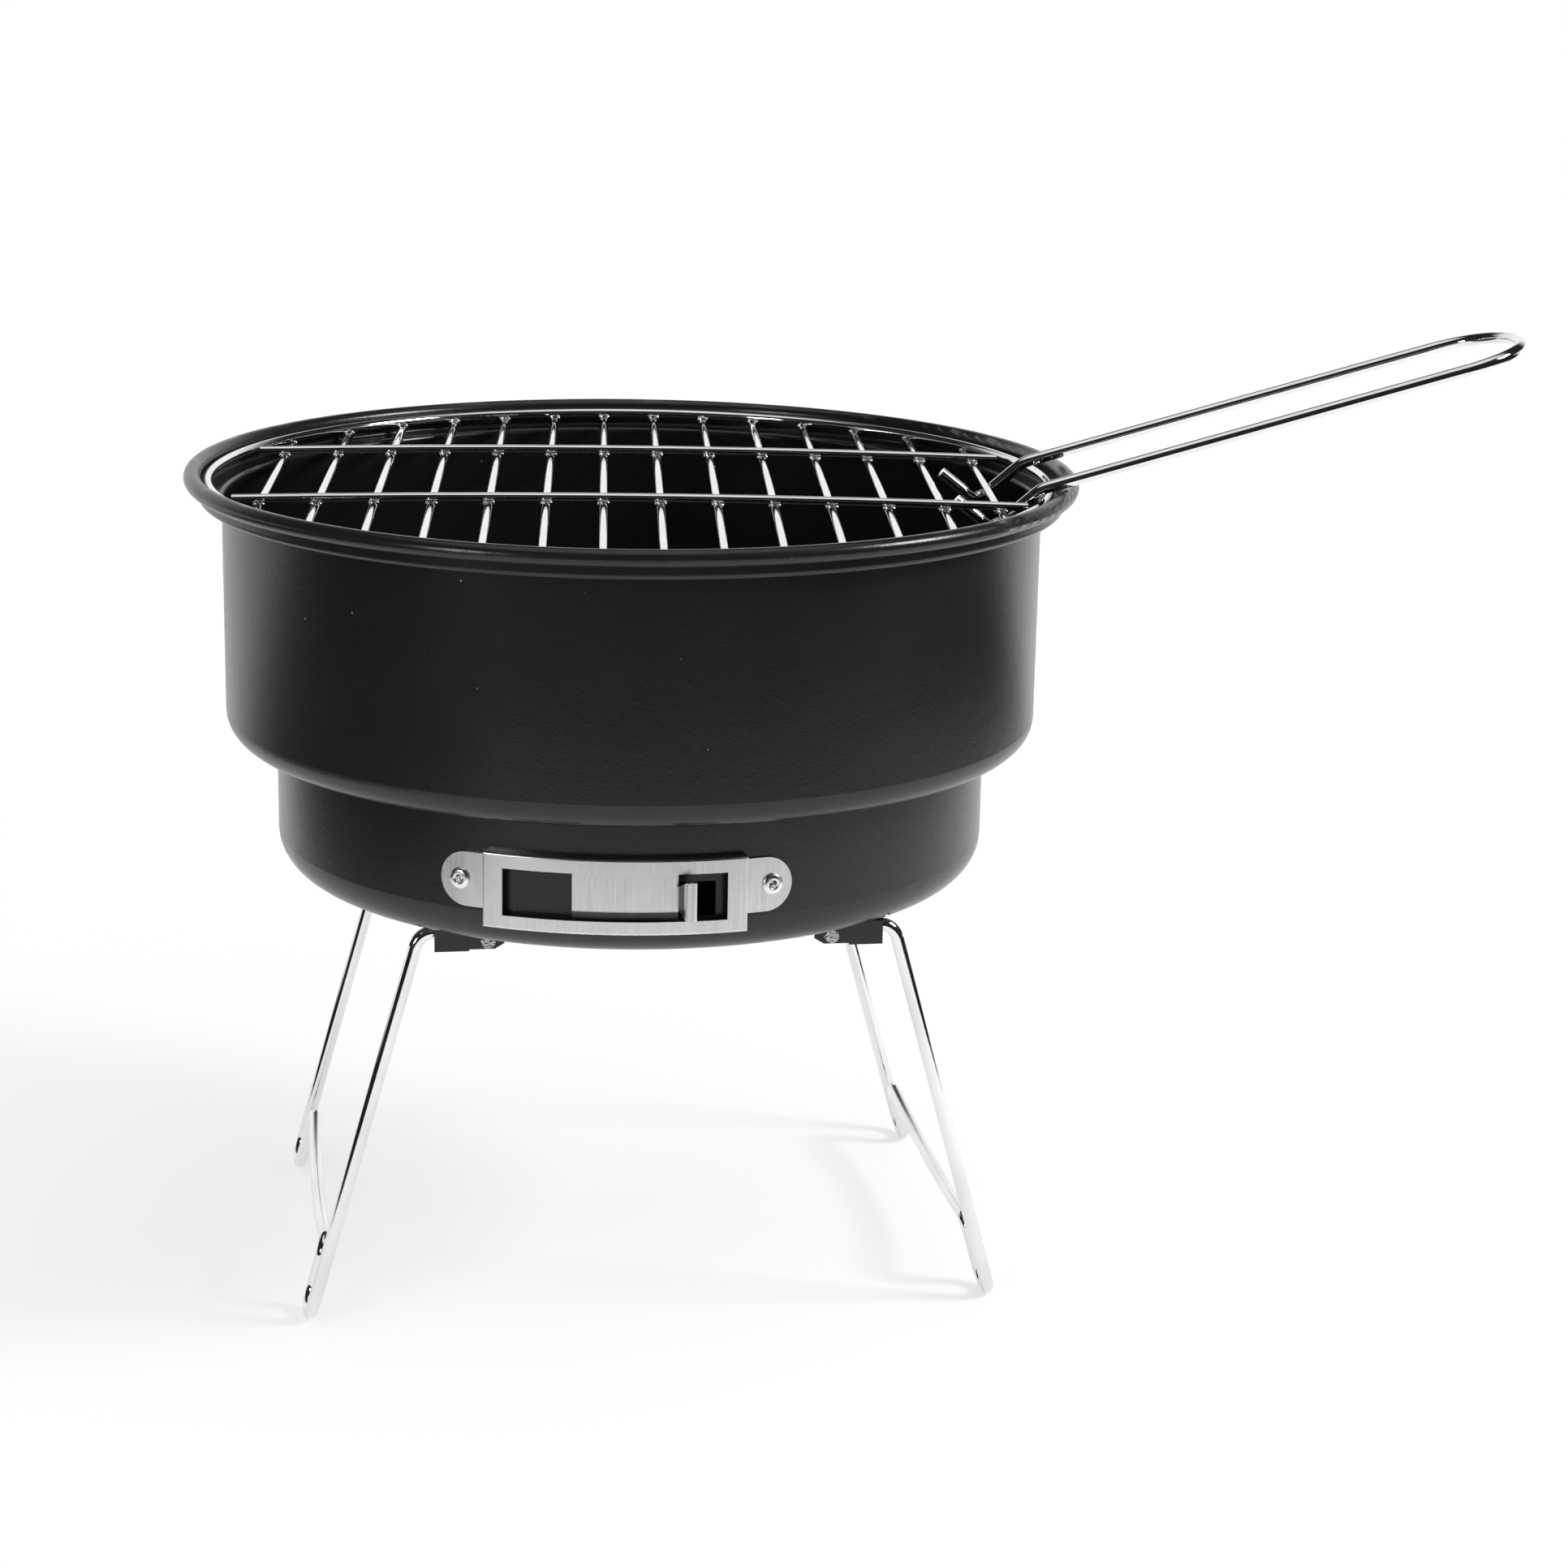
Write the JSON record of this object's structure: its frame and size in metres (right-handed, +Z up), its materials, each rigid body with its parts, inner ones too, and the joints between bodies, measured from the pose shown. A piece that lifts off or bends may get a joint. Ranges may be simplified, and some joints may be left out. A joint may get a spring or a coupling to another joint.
{
  "type": "folding camp grill",
  "caption": "Round black steel fire bowl on two folding wire legs, with a shuttered vent, a perforated charcoal plate and a loose wire grate with a hooked handle.",
  "frame": {"origin": "on the ground plane, under the bowl's vertical axis", "axes": "+Z up; +X towards the grate handle, the longest extent; -Y towards the vent; the leg hinges run along Y"},
  "size_m": [0.3925, 0.265, 0.2861],
  "materials": {
    "black_enamel": "satin black heat-resistant coating with a fine texture",
    "stainless_sheet": "brushed stainless sheet",
    "rivet_metal": "plain blind rivets",
    "chrome_wire": "bright chrome plating on drawn wire"
  },
  "bodies": {
    "bowl": {"bowl": "black_enamel", "vent_cover": "stainless_sheet", "vent_rivets": "rivet_metal", "left_bracket": "black_enamel", "right_bracket": "black_enamel"},
    "vent_slider": {"vent_slider": "stainless_sheet"},
    "left_leg": {"left_leg": "chrome_wire"},
    "right_leg": {"right_leg": "chrome_wire"},
    "charcoal_plate": {"charcoal_plate": "black_enamel"},
    "grate": {"grate_ring": "chrome_wire", "front_long_bar": "chrome_wire", "rear_long_bar": "chrome_wire", "crossbar_01": "chrome_wire", "crossbar_02": "chrome_wire", "crossbar_03": "chrome_wire", "crossbar_04": "chrome_wire", "crossbar_05": "chrome_wire", "crossbar_06": "chrome_wire", "crossbar_07": "chrome_wire", "crossbar_08": "chrome_wire", "crossbar_09": "chrome_wire", "crossbar_10": "chrome_wire", "crossbar_11": "chrome_wire", "crossbar_12": "chrome_wire", "crossbar_13": "chrome_wire", "crossbar_14": "chrome_wire"},
    "handle": {"handle": "chrome_wire"}
  },
  "joints": [
    {"name": "left_leg_fold", "type": "hinge", "parent": "bowl", "child": "left_leg", "pos_m": [-0.0493, 0, 0.1182], "axis": [0, -1, 0], "range_deg": [0, 97]},
    {"name": "right_leg_fold", "type": "hinge", "parent": "bowl", "child": "right_leg", "pos_m": [0.0493, 0, 0.1182], "axis": [0, 1, 0], "range_deg": [0, 97]},
    {"name": "vent_shutter", "type": "hinge", "parent": "bowl", "child": "vent_slider", "pos_m": [0, 0, 0.14], "axis": [0, 0, 1], "range_deg": [-10, 6]},
    {"name": "plate_lift", "type": "slide", "parent": "bowl", "child": "charcoal_plate", "axis": [0, 0, 1], "range_m": [0, 0.05]},
    {"name": "grate_lift", "type": "slide", "parent": "bowl", "child": "grate", "axis": [0, 0, 1], "range_m": [0, 0.15]},
    {"name": "handle_tilt", "type": "hinge", "parent": "grate", "child": "handle", "pos_m": [0.10346, -0.02157, 0.2362], "axis": [-0.1097, -0.994, 0], "range_deg": [0, 60]}
  ]
}
